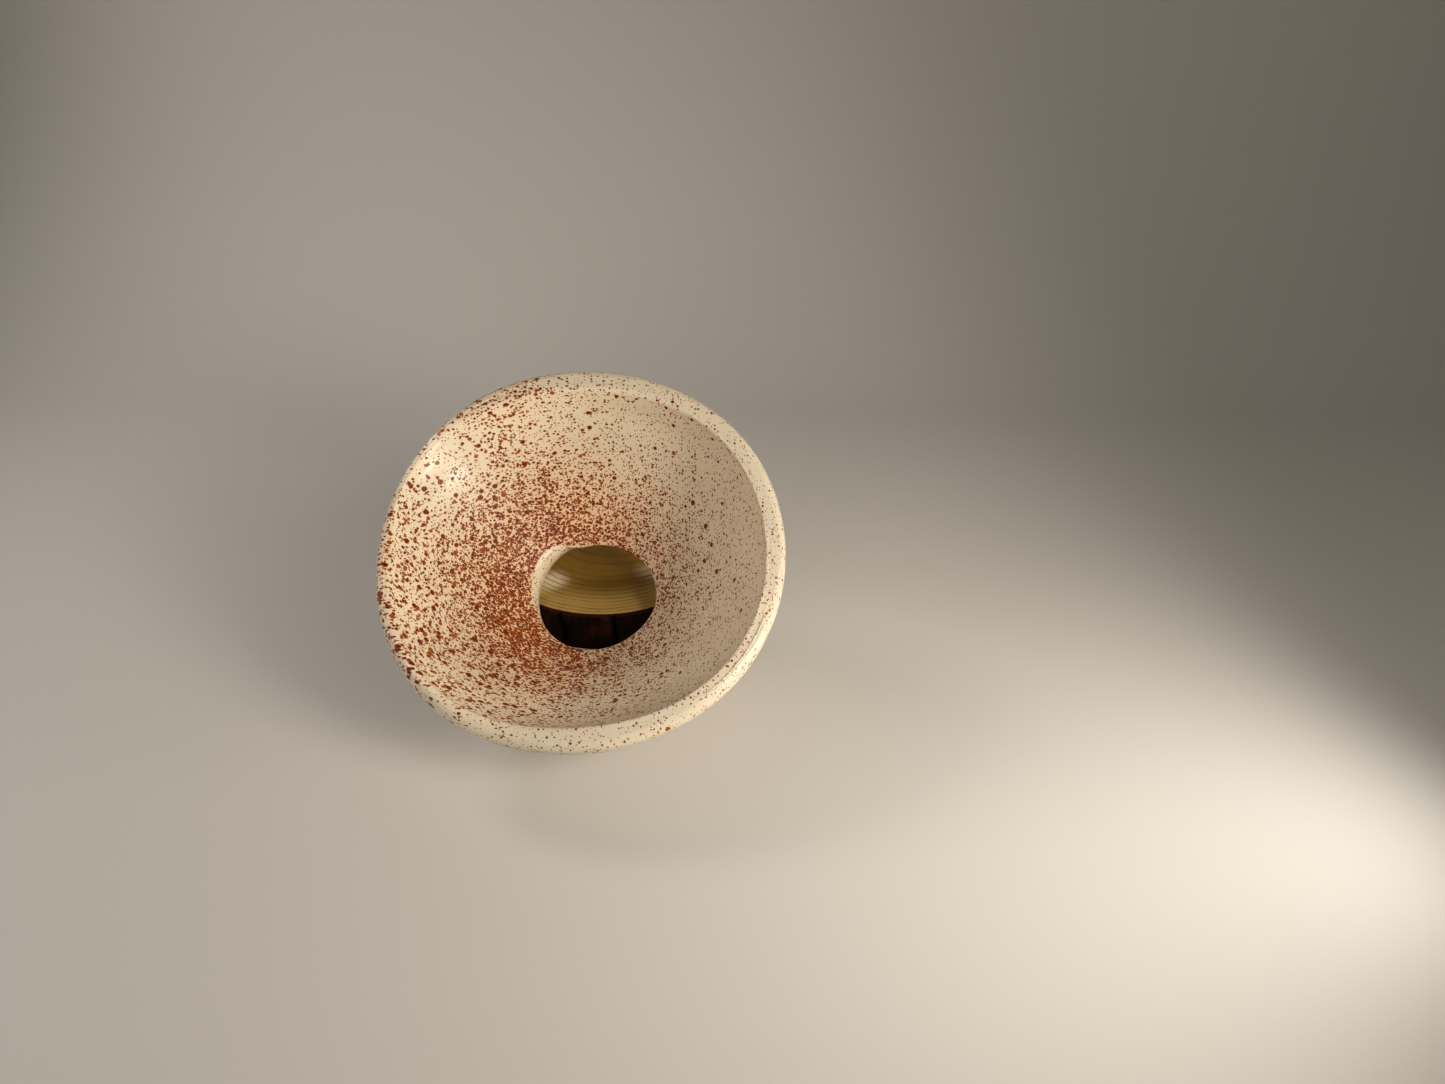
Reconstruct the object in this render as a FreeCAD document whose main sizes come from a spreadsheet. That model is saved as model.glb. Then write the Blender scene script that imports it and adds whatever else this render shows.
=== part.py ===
"""Hand-thrown stoneware funnel, leaning on a bark-edged slice of wood.

The funnel is one thick-walled cone with a round lip at its mouth and a wide throat cut through
its foot. The front of its foot ring stands on the ground and the back of the ring lies on the
front edge of the wood slice, which tips the mouth forward. Nothing fastens the two together:
the funnel lifts off.

Frame: millimetres, +Z up, the mouth tips towards -Y, and the origin is the centre of the
slice's underside.
"""
import FreeCAD, Part
import Sketcher
import math
import os

V = FreeCAD.Vector

SIZES = [
    # funnel, measured along and across its own axis from the flat face of its foot
    ("rim_radius", 75.0, "outside of the lip at its widest"),
    ("lip_radius", 3.6, "half the thickness of the rounded lip"),
    ("funnel_height", 61.0, "foot face to the top of the lip"),
    ("throat_radius", 23.5, "straight hole through the foot"),
    ("throat_length", 8.0, "foot face to the start of the bowl"),
    ("inner_curve", 136.0, "radius of the bowl's inside, seen in section"),
    ("outer_curve", 300.0, "radius of the bowl's outside, seen in section"),
    ("foot_radius", 36.0, "outside of the foot ring"),
    ("foot_height", 4.5, "straight outside of the foot ring"),
    ("foot_round", 1.5, "outer edge of the foot face"),
    ("throat_round", 1.2, "both edges of the throat"),
    ("tilt_angle", 31.5, "funnel's axis from upright, degrees"),
    # slice of wood
    ("slice_radius", 54.0, "outside of the bark"),
    ("slice_thickness", 16.6, "saw cut to saw cut"),
    ("outer_bark", 2.2, "thickness of the corky outer bark"),
    ("inner_bark", 0.7, "thickness of the red inner bark"),
    ("bark_round", 0.5, "worn edges of the bark"),
    ("fissure_count", 17, "cracks down the bark"),
    ("fissure_depth", 1.3, "depth of a crack"),
    ("fissure_width", 1.8, "a crack's width at the surface"),
    # between the two
    ("seat_clearance", 0.2, "foot face to the slice's top"),
]
SIZE = {alias: value for alias, value, meaning in SIZES}


def make_sheet(doc):
    """The driving dimensions, one row each: name, value, meaning."""
    sheet = doc.addObject("Spreadsheet::Sheet", "Sizes")
    for row, (alias, value, meaning) in enumerate(SIZES, start=1):
        sheet.set("A%d" % row, alias)
        sheet.set("B%d" % row, str(value))
        sheet.set("C%d" % row, meaning)
        sheet.setAlias("B%d" % row, alias)
    doc.recompute()
    return sheet


def new_body(doc, label):
    body = doc.addObject("PartDesign::Body", label)
    body.Label = label
    return body


def new_sketch(body, name, role):
    """An empty sketch on one of the body's own origin planes."""
    plane = next(item for item in body.Origin.OriginFeatures if item.Role == role)
    sketch = body.newObject("Sketcher::SketchObject", name)
    sketch.AttachmentSupport = (plane, [""])
    sketch.MapMode = "FlatFace"
    return sketch


def bind(item, bindings):
    """Tie properties or named constraints to expressions."""
    for target, expression in bindings.items():
        item.setExpression(target, expression)


def size_constraint(sketch, name, expression, kind, *places):
    """A named constraint, started at its own value and tied to the sheet."""
    sketch.addConstraint(Sketcher.Constraint(kind, *places))
    sketch.renameConstraint(sketch.ConstraintCount - 1, name)
    sketch.setExpression("Constraints." + name, expression)


def centre_between(point, reach, other, other_reach):
    """The point at the two given distances from two points, on the side nearer the axis."""
    along = other - point
    step = (reach ** 2 - other_reach ** 2 + along.Length ** 2) / (2 * along.Length)
    rise = math.sqrt(reach ** 2 - step ** 2)
    unit = V(along).normalize()
    return point + unit * step + V(-unit.y, unit.x, 0) * rise


def circle_edges(shape, radius, height):
    """Names of the level circular edges of that radius at that height."""
    names = []
    for number, edge in enumerate(shape.Edges, start=1):
        curve = edge.Curve
        if curve.TypeId != "Part::GeomCircle":
            continue
        if abs(curve.Radius - radius) < 0.01 and abs(curve.Center.z - height) < 0.01:
            names.append("Edge%d" % number)
    return names


def arc_between(centre, radius, start, end):
    """Counter-clockwise arc from the point start to the point end."""
    first = math.atan2(start.y - centre.y, start.x - centre.x)
    last = math.atan2(end.y - centre.y, end.x - centre.x)
    if last < first:
        last += 2 * math.pi
    return Part.ArcOfCircle(Part.Circle(centre, V(0, 0, 1), radius), first, last)


def make_funnel(doc):
    """The whole funnel: a half section turned about the funnel's axis, then its edges rounded.

    The bowl's inside and outside are two long arcs, each tangent to the half-round lip.
    """
    body = new_body(doc, "funnel")
    sketch = new_sketch(body, "funnel_section", "XZ_Plane")

    throat_foot = V(SIZE["throat_radius"], 0, 0)
    throat_top = V(SIZE["throat_radius"], SIZE["throat_length"], 0)
    foot_top = V(SIZE["foot_radius"], SIZE["foot_height"], 0)
    foot_foot = V(SIZE["foot_radius"], 0, 0)
    lip = SIZE["lip_radius"]
    lip_centre = V(SIZE["rim_radius"] - lip, SIZE["funnel_height"] - lip, 0)
    inner, outer = SIZE["inner_curve"], SIZE["outer_curve"]
    inner_centre = centre_between(throat_top, inner, lip_centre, inner + lip)
    outer_centre = centre_between(foot_top, outer, lip_centre, outer - lip)
    lip_inside = lip_centre + V(inner_centre - lip_centre).normalize() * lip
    lip_outside = lip_centre + V(lip_centre - outer_centre).normalize() * lip

    throat, bowl, rim, back, side, face = sketch.addGeometry([
        Part.LineSegment(throat_foot, throat_top),
        arc_between(inner_centre, inner, throat_top, lip_inside),
        arc_between(lip_centre, lip, lip_outside, lip_inside),
        arc_between(outer_centre, outer, foot_top, lip_outside),
        Part.LineSegment(foot_top, foot_foot),
        Part.LineSegment(foot_foot, throat_foot),
    ], False)
    start, end, centre, axis = 1, 2, 3, -1
    sketch.addConstraint([
        Sketcher.Constraint("Coincident", throat, end, bowl, start),
        Sketcher.Constraint("Tangent", bowl, end, rim, end),
        Sketcher.Constraint("Tangent", rim, start, back, end),
        Sketcher.Constraint("Coincident", back, start, side, start),
        Sketcher.Constraint("Coincident", side, end, face, start),
        Sketcher.Constraint("Coincident", face, end, throat, start),
        Sketcher.Constraint("Vertical", throat),
        Sketcher.Constraint("Vertical", side),
        Sketcher.Constraint("PointOnObject", throat, start, axis),
        Sketcher.Constraint("PointOnObject", side, end, axis),
    ])
    origin = (axis, start)
    size_constraint(sketch, "throat_radius", "Sizes.throat_radius", "DistanceX",
                    *origin, throat, start, SIZE["throat_radius"])
    size_constraint(sketch, "throat_length", "Sizes.throat_length", "DistanceY",
                    throat, start, throat, end, SIZE["throat_length"])
    size_constraint(sketch, "foot_radius", "Sizes.foot_radius", "DistanceX",
                    *origin, side, end, SIZE["foot_radius"])
    size_constraint(sketch, "foot_height", "Sizes.foot_height", "DistanceY",
                    side, end, side, start, SIZE["foot_height"])
    size_constraint(sketch, "lip_radius", "Sizes.lip_radius", "Radius", rim, lip)
    size_constraint(sketch, "lip_across", "Sizes.rim_radius - Sizes.lip_radius", "DistanceX",
                    *origin, rim, centre, lip_centre.x)
    size_constraint(sketch, "lip_up", "Sizes.funnel_height - Sizes.lip_radius", "DistanceY",
                    *origin, rim, centre, lip_centre.y)
    size_constraint(sketch, "inner_curve", "Sizes.inner_curve", "Radius", bowl, inner)
    size_constraint(sketch, "outer_curve", "Sizes.outer_curve", "Radius", back, outer)

    turned = body.newObject("PartDesign::Revolution", "funnel_turned")
    turned.Profile = sketch
    turned.ReferenceAxis = (sketch, ["V_Axis"])
    turned.Angle = 360
    doc.recompute()

    throat_edges = body.newObject("PartDesign::Fillet", "throat_edges")
    throat_edges.Base = (turned, circle_edges(turned.Shape, throat_top.x, throat_top.y)
                         + circle_edges(turned.Shape, throat_foot.x, throat_foot.y))
    throat_edges.setExpression("Radius", "Sizes.throat_round")
    doc.recompute()
    foot_edge = body.newObject("PartDesign::Fillet", "foot_edge")
    foot_edge.Base = (throat_edges, circle_edges(throat_edges.Shape, foot_foot.x, foot_foot.y))
    foot_edge.setExpression("Radius", "Sizes.foot_round")
    seat_funnel(body)
    return body


def seat_funnel(body):
    """Lean the funnel on the slice: tilted about X, its foot ring's front on the ground.

    The foot face's inner edge meets the slice's round top edge at two points, left and right.
    across is how far behind the foot's centre they lie, measured in the tilted face, and side
    is how far out along X. The slice's own circle then gives their place along Y.
    """
    turn = "Sizes.tilt_angle * 1deg"
    up = ("((Sizes.foot_radius - Sizes.foot_round) * sin(%s)"
          " + Sizes.foot_round * (1 - cos(%s)))" % (turn, turn))
    across = "((Sizes.slice_thickness + Sizes.seat_clearance - %s) / sin(%s))" % (up, turn)
    side_squared = "((Sizes.throat_radius + Sizes.throat_round)^2 - %s^2)" % across
    back = "(-sqrt(Sizes.slice_radius^2 - %s) - %s * cos(%s))" % (side_squared, across, turn)
    body.Placement = FreeCAD.Placement(V(), FreeCAD.Rotation(V(1, 0, 0), SIZE["tilt_angle"]))
    bind(body, {"Placement.Rotation.Angle": turn,
                "Placement.Base.y": back,
                "Placement.Base.z": up})


def make_disc(doc, label, outside, inside=None):
    """A flat disc or ring as thick as the slice, with its radii given as expressions."""
    body = new_body(doc, label)
    sketch = new_sketch(body, label + "_outline", "XY_Plane")
    for name, radius, guess in (("outside", outside, SIZE["slice_radius"]),
                                ("inside", inside, SIZE["slice_radius"] / 2)):
        if radius is None:
            continue
        circle = sketch.addGeometry(Part.Circle(V(), V(0, 0, 1), guess), False)
        sketch.addConstraint(Sketcher.Constraint("Coincident", circle, 3, -1, 1))
        size_constraint(sketch, name, radius, "Radius", circle, guess)
    pad = body.newObject("PartDesign::Pad", label + "_cut")
    pad.Profile = sketch
    pad.setExpression("Length", "Sizes.slice_thickness")
    doc.recompute()
    return body, pad


def make_slice(doc):
    """The slice, from the middle out: wood, red inner bark, cracked outer bark."""
    wood_edge = "Sizes.slice_radius - Sizes.outer_bark - Sizes.inner_bark"
    bast_edge = "Sizes.slice_radius - Sizes.outer_bark"
    wood, disc = make_disc(doc, "wood_slice", wood_edge)
    bast, ring = make_disc(doc, "inner_bark", bast_edge, wood_edge)
    bark, ring = make_disc(doc, "outer_bark", "Sizes.slice_radius", bast_edge)

    worn = bark.newObject("PartDesign::Fillet", "bark_edges")
    worn.Base = (ring, circle_edges(ring.Shape, SIZE["slice_radius"], 0)
                 + circle_edges(ring.Shape, SIZE["slice_radius"], SIZE["slice_thickness"]))
    worn.setExpression("Radius", "Sizes.bark_round")
    doc.recompute()
    crack_bark(doc, bark)
    return [wood, bast, bark]


def crack_bark(doc, bark):
    """Cracks right down the outside of the bark: one wedge, repeated around the slice."""
    sketch = new_sketch(bark, "fissure_outline", "XY_Plane")
    half, depth = SIZE["fissure_width"] / 2, SIZE["fissure_depth"]
    mouth = SIZE["slice_radius"]
    corners = [V(mouth, -half, 0), V(mouth, half, 0), V(mouth - depth, 0, 0)]
    lines = [sketch.addGeometry(Part.LineSegment(a, b), False)
             for a, b in zip(corners, corners[1:] + corners[:1])]
    front, upper, lower = lines
    start, end, axis = 1, 2, -1
    sketch.addConstraint([
        Sketcher.Constraint("Coincident", front, end, upper, start),
        Sketcher.Constraint("Coincident", upper, end, lower, start),
        Sketcher.Constraint("Coincident", lower, end, front, start),
        Sketcher.Constraint("PointOnObject", upper, end, axis),
        Sketcher.Constraint("Symmetric", front, start, front, end, axis),
    ])
    size_constraint(sketch, "fissure_width", "Sizes.fissure_width", "DistanceY",
                    front, start, front, end, 2 * half)
    size_constraint(sketch, "fissure_mouth", "Sizes.slice_radius", "DistanceX",
                    axis, start, front, start, mouth)
    size_constraint(sketch, "fissure_depth", "Sizes.fissure_depth", "DistanceX",
                    upper, end, front, start, depth)
    whole = bark.Shape.Volume
    fissure = bark.newObject("PartDesign::Pocket", "fissure")
    fissure.Profile = sketch
    fissure.Type = "ThroughAll"
    fissure.Reversed = True
    doc.recompute()
    if not bark.Shape.Volume < whole:
        raise RuntimeError("the fissure cut nothing")

    around = bark.newObject("PartDesign::PolarPattern", "fissures")
    around.Originals = [fissure]
    around.Axis = (sketch, ["N_Axis"])
    around.Angle = 360
    around.setExpression("Occurrences", "Sizes.fissure_count")
    bark.Tip = around


def check(doc, parts):
    """Stop on a feature that failed, or on a sub-part without one sound solid."""
    for item in doc.Objects:
        if "Invalid" in item.State or "Error" in item.State:
            raise RuntimeError("%s failed: %s" % (item.Name, item.State))
    for part in parts:
        if part.Shape.isNull() or not part.Shape.isValid() or len(part.Shape.Solids) != 1:
            raise RuntimeError("%s has no sound solid" % part.Label)


def main():
    doc = FreeCAD.newDocument("stoneware_funnel")
    make_sheet(doc)
    parts = [make_funnel(doc)] + make_slice(doc)
    doc.recompute()
    check(doc, parts)
    os.makedirs("parts", exist_ok=True)
    for part in parts:
        part.Shape.exportStep("parts/%s.step" % part.Label)
        print(part.Label, "volume %.0f mm3" % part.Shape.Volume, part.Shape.BoundBox)


main()
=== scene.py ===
"""Stoneware funnel leaning on a bark-edged slice of wood: surfaces, glaze, wood, bark and stage.

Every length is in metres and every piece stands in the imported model's own frame.
"""

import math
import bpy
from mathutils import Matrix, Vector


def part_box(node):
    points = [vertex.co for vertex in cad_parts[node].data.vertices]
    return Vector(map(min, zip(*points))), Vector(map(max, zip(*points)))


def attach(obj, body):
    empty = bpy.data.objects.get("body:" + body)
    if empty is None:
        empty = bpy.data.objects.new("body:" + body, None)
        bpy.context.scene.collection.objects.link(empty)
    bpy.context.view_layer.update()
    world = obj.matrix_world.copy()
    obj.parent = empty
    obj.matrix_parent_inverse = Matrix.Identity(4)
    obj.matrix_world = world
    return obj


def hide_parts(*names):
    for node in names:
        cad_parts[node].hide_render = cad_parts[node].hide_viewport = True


bl_info = {
    "name": "Stoneware Funnel on a Wood Slice",
    "version": (1, 0, 0),
    "blender": (4, 5, 0),
    "location": "3D View > Sidebar > Funnel",
    "description": "Builds a speckled stoneware funnel, the slice it leans on and a studio stage",
    "category": "Object",
}

import bpy
import numpy as np
from bpy.props import FloatProperty, FloatVectorProperty, IntProperty, PointerProperty
from bpy.types import Operator, Panel, PropertyGroup
from mathutils import Vector

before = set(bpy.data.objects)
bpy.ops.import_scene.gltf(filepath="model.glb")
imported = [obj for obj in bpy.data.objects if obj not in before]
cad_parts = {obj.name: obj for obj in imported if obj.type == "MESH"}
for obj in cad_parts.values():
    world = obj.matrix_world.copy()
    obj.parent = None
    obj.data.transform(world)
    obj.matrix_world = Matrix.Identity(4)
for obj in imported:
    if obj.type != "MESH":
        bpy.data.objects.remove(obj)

MM = 0.001
TURN = 2 * math.pi


# ---------------------------------------------------------------- settings

def length(name, default, description):
    return FloatProperty(name=name, default=default, description=description,
                         subtype="DISTANCE", unit="LENGTH", precision=5)


def colour(name, default, description):
    return FloatVectorProperty(name=name, default=default, description=description,
                               subtype="COLOR", size=3, min=0.0, max=1.0)


class FunnelShape(PropertyGroup):
    """Sizes of the funnel's section, measured along and across its own axis."""
    tilt: FloatProperty(name="Tilt", default=math.radians(31.5), subtype="ANGLE",
                        description="Funnel's axis from upright")
    height: length("Height", 61 * MM, "Foot face to the top of the lip")
    lip_radius: length("Lip radius", 3.6 * MM, "Half the lip's thickness")
    throat_radius: length("Throat radius", 23.5 * MM, "Hole through the foot")
    throat_length: length("Throat length", 8 * MM, "Foot face to the start of the bowl")
    bowl_curve: length("Bowl curve", 136 * MM, "Radius of the inside, seen in section")
    back_curve: length("Back curve", 300 * MM, "Radius of the outside, seen in section")
    foot_radius: length("Foot radius", 36 * MM, "Outside of the foot ring")
    foot_height: length("Foot height", 4.5 * MM, "Straight outside of the foot ring")
    edge_round: length("Edge round", 1.2 * MM, "Softened edges of the throat")
    foot_round: length("Foot round", 1.5 * MM, "Softened outer edge of the foot")
    unevenness: FloatProperty(name="Unevenness", default=1.0, min=0.0, max=2.0,
                              description="How far the hand-made form leaves a true circle")


class SliceShape(PropertyGroup):
    """Relief of the bark; the slice's sizes come from the frame."""
    fissures: IntProperty(name="Fissures", default=17, min=3, description="Deep bark cracks")
    fissure_depth: length("Fissure depth", 1.5 * MM, "Depth of a deep crack")
    waviness: length("Waviness", 0.5 * MM, "How far the wood's outline wanders inwards")


class Finishes(PropertyGroup):
    """Colours of the glaze, clay, wood and bark."""
    cream: colour("Cream glaze", (0.745, 0.63, 0.455), "Glaze where no iron settled")
    # The rim colour stands for thin glaze, and on the lip it is also painted shade: it is darker so
    # that the lip looks less lit.
    rim: colour("Rim glaze", (0.62, 0.54, 0.405), "Thin glaze over the lip and down the back")
    peach: colour("Peach glaze", (0.78, 0.475, 0.245), "Glaze stained by dense iron spray")
    rust: colour("Rust", (0.33, 0.069, 0.006), "Rim of an iron spot")
    iron: colour("Iron", (0.125, 0.013, 0.001), "Heart of an iron spot")
    clay: colour("Bare clay", (0.42, 0.28, 0.17), "Unglazed foot")
    heartwood: colour("Heartwood", (0.21, 0.105, 0.006), "Wood inside")
    sapwood: colour("Sapwood", (0.49, 0.33, 0.092), "Wood next to the bark")
    # Not sun-paled wood: a painted pool of light, where lamp light through the throat falls on the
    # slice.
    painted_light_patch: colour("Bleached wood", (0.68, 0.53, 0.34), "Patches that the sun has paled")
    latewood: colour("Late wood", (0.13, 0.060, 0.010), "Dark line of a growth ring")
    bast: colour("Inner bark", (0.085, 0.017, 0.004), "Red layer under the bark")
    bark: colour("Bark", (0.008, 0.0028, 0.0017), "Ridges of the outer bark")
    # Near-black painted shade for the inside of a crack.
    crack: colour("Crack", (0.0008, 0.0004, 0.0003), "Bottom of a crack")


class StageLook(PropertyGroup):
    """Camera, lamps and sweep."""
    lens: FloatProperty(name="Lens", default=27.0, description="Focal length in millimetres")
    depression: FloatProperty(name="Depression", default=math.radians(35.5), subtype="ANGLE",
                              description="How far the camera looks down")
    heading: FloatProperty(name="Heading", default=math.radians(1.0), subtype="ANGLE",
                           description="How far the camera looks to the left of +Y")
    lamp_power: FloatProperty(name="Lamp power", default=1.0,
                              description="Factor on every lamp's watts")
    ambient: FloatProperty(name="Ambient", default=0.02, description="Light from all round")
    floor: colour("Floor", (0.60, 0.57, 0.53), "Paper sweep")


# ---------------------------------------------------------------- numbers and surfaces

def smooth_step(x):
    """Eased ramp: 0 below 0, 1 above 1, and 3x^2 - 2x^3 between."""
    x = np.clip(x, 0.0, 1.0)
    return x * x * (3 - 2 * x)


def wrapped(angle):
    """An angle brought between minus and plus half a turn."""
    return (angle + math.pi) % TURN - math.pi


def swell(angle, centre, width):
    """Bell curve round a circle, centred and as wide as given in degrees."""
    return np.exp(-0.5 * (wrapped(angle - math.radians(centre)) / math.radians(width)) ** 2)


def lattice_noise(rng, u, v, across, up):
    """Smooth noise in -1..1: random lattice values eased between; u wraps at 1, v doesn't."""
    values = rng.uniform(-1, 1, (up + 2, across))
    x, y = (u % 1.0) * across, np.clip(v, 0, 1) * up
    column, row = np.floor(x).astype(int) % across, np.floor(y).astype(int)
    fx, fy = smooth_step(x - np.floor(x)), smooth_step(y - row)
    right = (column + 1) % across
    low = values[row, column] * (1 - fx) + values[row, right] * fx
    high = values[row + 1, column] * (1 - fx) + values[row + 1, right] * fx
    return low * (1 - fy) + high * fy


def arc(centre, radius, start, end, count):
    """Points on a circle from one angle to another, in radians, the last one left out."""
    angle = np.linspace(start, end, count, endpoint=False)
    return centre + radius * np.stack([np.cos(angle), np.sin(angle)], axis=1)


def straight(start, end, count):
    """Evenly spaced points from start to end, the last one left out."""
    share = np.linspace(0, 1, count, endpoint=False)[:, None]
    return start * (1 - share) + end * share


def centre_between(point, reach, other, other_reach):
    """The centre at the two given distances from two points, on the side nearer the axis."""
    along = other - point
    span = np.hypot(*along)
    step = (reach ** 2 - other_reach ** 2 + span ** 2) / (2 * span)
    rise = math.sqrt(reach ** 2 - step ** 2)
    unit = along / span
    return point + unit * step + np.array([-unit[1], unit[0]]) * rise


def heading_of(vector):
    return math.atan2(vector[1], vector[0])


def grid_quads(across, along, close_across=True, close_along=True):
    """Corner numbers of a grid's four-sided faces, joined round where it closes."""
    i = np.arange(across if close_across else across - 1)[:, None]
    j = np.arange(along if close_along else along - 1)[None, :]
    i_next, j_next = (i + 1) % across, (j + 1) % along
    corners = (i * along + j, i * along + j_next, i_next * along + j_next, i_next * along + j)
    return np.stack(np.broadcast_arrays(*corners), axis=-1).reshape(-1, 4).tolist()


def smooth_mesh(name, vertices, faces):
    mesh = bpy.data.meshes.new(name)
    mesh.from_pydata(vertices.tolist(), [], faces)
    mesh.update()
    mesh.shade_smooth()
    return mesh


def mesh_from_grid(name, points, **closing):
    """A mesh from an (across, along, 3) grid of points."""
    return smooth_mesh(name, points.reshape(-1, 3), grid_quads(*points.shape[:2], **closing))


def paint(mesh, name, values):
    """Store one number per vertex, for the material to read."""
    layer = mesh.attributes.new(name, "FLOAT", "POINT")
    layer.data.foreach_set("value", np.ascontiguousarray(values, dtype=np.float32).ravel())


def put(name, data):
    """A new object in the scene."""
    item = bpy.data.objects.new(name, data)
    bpy.context.collection.objects.link(item)
    return item


def place(name, mesh, material, body, node):
    """Put a piece in the scene: it rides on its body and stands for its node."""
    piece = put(name, mesh)
    mesh.materials.append(material)
    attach(piece, body)
    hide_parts(node)
    return piece


# ---------------------------------------------------------------- funnel

AROUND = 420
# The thin map marks the darker rim colour: thin glaze down the back, thin glaze and painted shade
# on the lip.
GLAZE_MAPS = ("spray", "grains", "drops", "stain", "thin", "glazed")
# Each pass of spray: its share, its middle and width in degrees round the axis, and its
# middle and width in millimetres out from the axis.
PASSES = {
    "spray": ((0.16, 206, 50, 36, 12), (0.16, 128, 24, 44, 14), (0.20, 122, 13, 72, 5),
              (-0.16, 148, 10, 65, 5)),
    "grains": ((0.16, 120, 26, 42, 16), (0.40, 122, 13, 71, 6), (-0.20, 148, 10, 65, 5)),
    "drops": ((0.34, 122, 13, 71, 6), (0.46, 200, 18, 73, 5), (0.06, 60, 40, 56, 12)),
}


def funnel_section(shape, rim_radius):
    """One closed loop through the wall, as (out from the axis, up from the foot), and its zones.

    It goes up the throat, along the bowl, over the lip, down the back and across the foot face.
    Bowl and back are arcs tangent to the round lip, as in the solid. Each zone is a mask, true
    at the points of that name.
    """
    soft, toe, lip = shape.edge_round, shape.foot_round, shape.lip_radius
    lip_centre = np.array([rim_radius - lip, shape.height - lip])
    throat_top = np.array([shape.throat_radius, shape.throat_length])
    foot_top = np.array([shape.foot_radius, shape.foot_height])
    bowl = centre_between(throat_top, shape.bowl_curve, lip_centre, shape.bowl_curve + lip)
    back = centre_between(foot_top, shape.back_curve, lip_centre, shape.back_curve - lip)
    throat_bend = shape.throat_radius + soft
    reach = shape.bowl_curve + soft
    bend = np.array([throat_bend, bowl[1] - math.sqrt(reach ** 2 - (throat_bend - bowl[0]) ** 2)])
    into_bowl = heading_of(bowl - bend)
    inside, outside = heading_of(bowl - lip_centre), heading_of(lip_centre - back)
    throat_foot = np.array([shape.throat_radius, soft])
    foot_inner = np.array([throat_bend, soft])
    foot_outer = np.array([shape.foot_radius - toe, toe])
    stretches = [
        arc(foot_inner, soft, -math.pi / 2, -math.pi, 6),
        straight(throat_foot, np.array([shape.throat_radius, bend[1]]), 14),
        arc(bend, soft, math.pi, into_bowl, 8),
        arc(bowl, shape.bowl_curve, into_bowl - math.pi, inside - math.pi, 58),
        arc(lip_centre, lip, inside, outside, 72),
        arc(back, shape.back_curve, outside, heading_of(foot_top - back), 30),
        straight(foot_top, foot_outer + np.array([toe, 0]), 5),
        arc(foot_outer, toe, 0, -math.pi / 2, 7),
        straight(foot_outer - np.array([0, toe]), foot_inner - np.array([0, soft]), 10),
    ]
    names = ["foot", "throat", "throat", "bowl", "lip", "back", "foot", "foot", "foot"]
    loop = np.concatenate(stretches)
    part = np.concatenate([np.full(len(s), names.index(n)) for s, n in zip(stretches, names)])
    zone = {name: part == names.index(name) for name in set(names)}
    return loop, zone, lip_centre, bowl


def throat_edges(a):
    """How far the throat's top and bottom edges leave their circle, in millimetres.

    The top edge is a little oval with a flat at the lower right, and a facet is cut at the
    upper left: it starts steeply, thins slowly and stops. The bottom edge is undercut behind.
    """
    degrees = (np.degrees(a) + 70) % 360 - 70
    facet = (4.7 * smooth_step((degrees - 108) / 30)
             * (1 - 0.75 * np.clip((degrees - 148) / 46, 0, 1))
             * (1 - smooth_step((degrees - 185) / 10)))
    oval = 0.5 * np.cos(2 * a) + 0.5 * np.sin(2 * a) + 0.3 * np.cos(3 * a) - 0.15
    top = (oval + facet - 0.4 * swell(a, 310, 13) + 0.4 * swell(a, 350, 8)
           - 0.6 * swell(a, 264, 24))
    behind = smooth_step((degrees + 22) / 40) * (1 - smooth_step((degrees - 128) / 82))
    return top, 0.3 + 2.9 * behind - 0.9 * swell(a, 152, 18)


def shape_lip(a, out, up, zone, lip_centre):
    """Square the lip's crest on the right, thin it on the left and run a fine bead inside it.

    The section becomes a superellipse: at a bearing b from the lip's middle its reach is the
    lip's radius times (|cos b|^p + |sin b|^p)^(-1/p), a circle where p is 2.
    """
    crest = np.hypot(out - lip_centre[0], up - lip_centre[1])
    bearing = np.arctan2(up - lip_centre[1], out - lip_centre[0])
    inward = np.cos(bearing) < 0
    power = np.where(inward, 2.2 + 3.0 * swell(a, 335, 62), 2.2) - 0.15 * swell(a, 150, 40)
    boxy = (np.abs(np.cos(bearing)) ** power + np.abs(np.sin(bearing)) ** power) ** (-1 / power)
    ridge = np.exp(-0.5 * ((bearing - 2.30) / 0.11) ** 2)
    groove = np.exp(-0.5 * ((bearing - 2.58) / 0.12) ** 2)
    bead = MM * (0.34 * ridge - 0.14 * groove) * swell(a, 352, 42)
    crest = crest + bead * (1 + 0.5 * np.sin(23 * a) * np.sin(9 * a))
    on_lip = zone["lip"][None, :]
    out = np.where(on_lip, lip_centre[0] + crest * boxy * np.cos(bearing), out)
    up = np.where(on_lip, lip_centre[1] + crest * boxy * np.sin(bearing), up)
    return out, up


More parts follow.
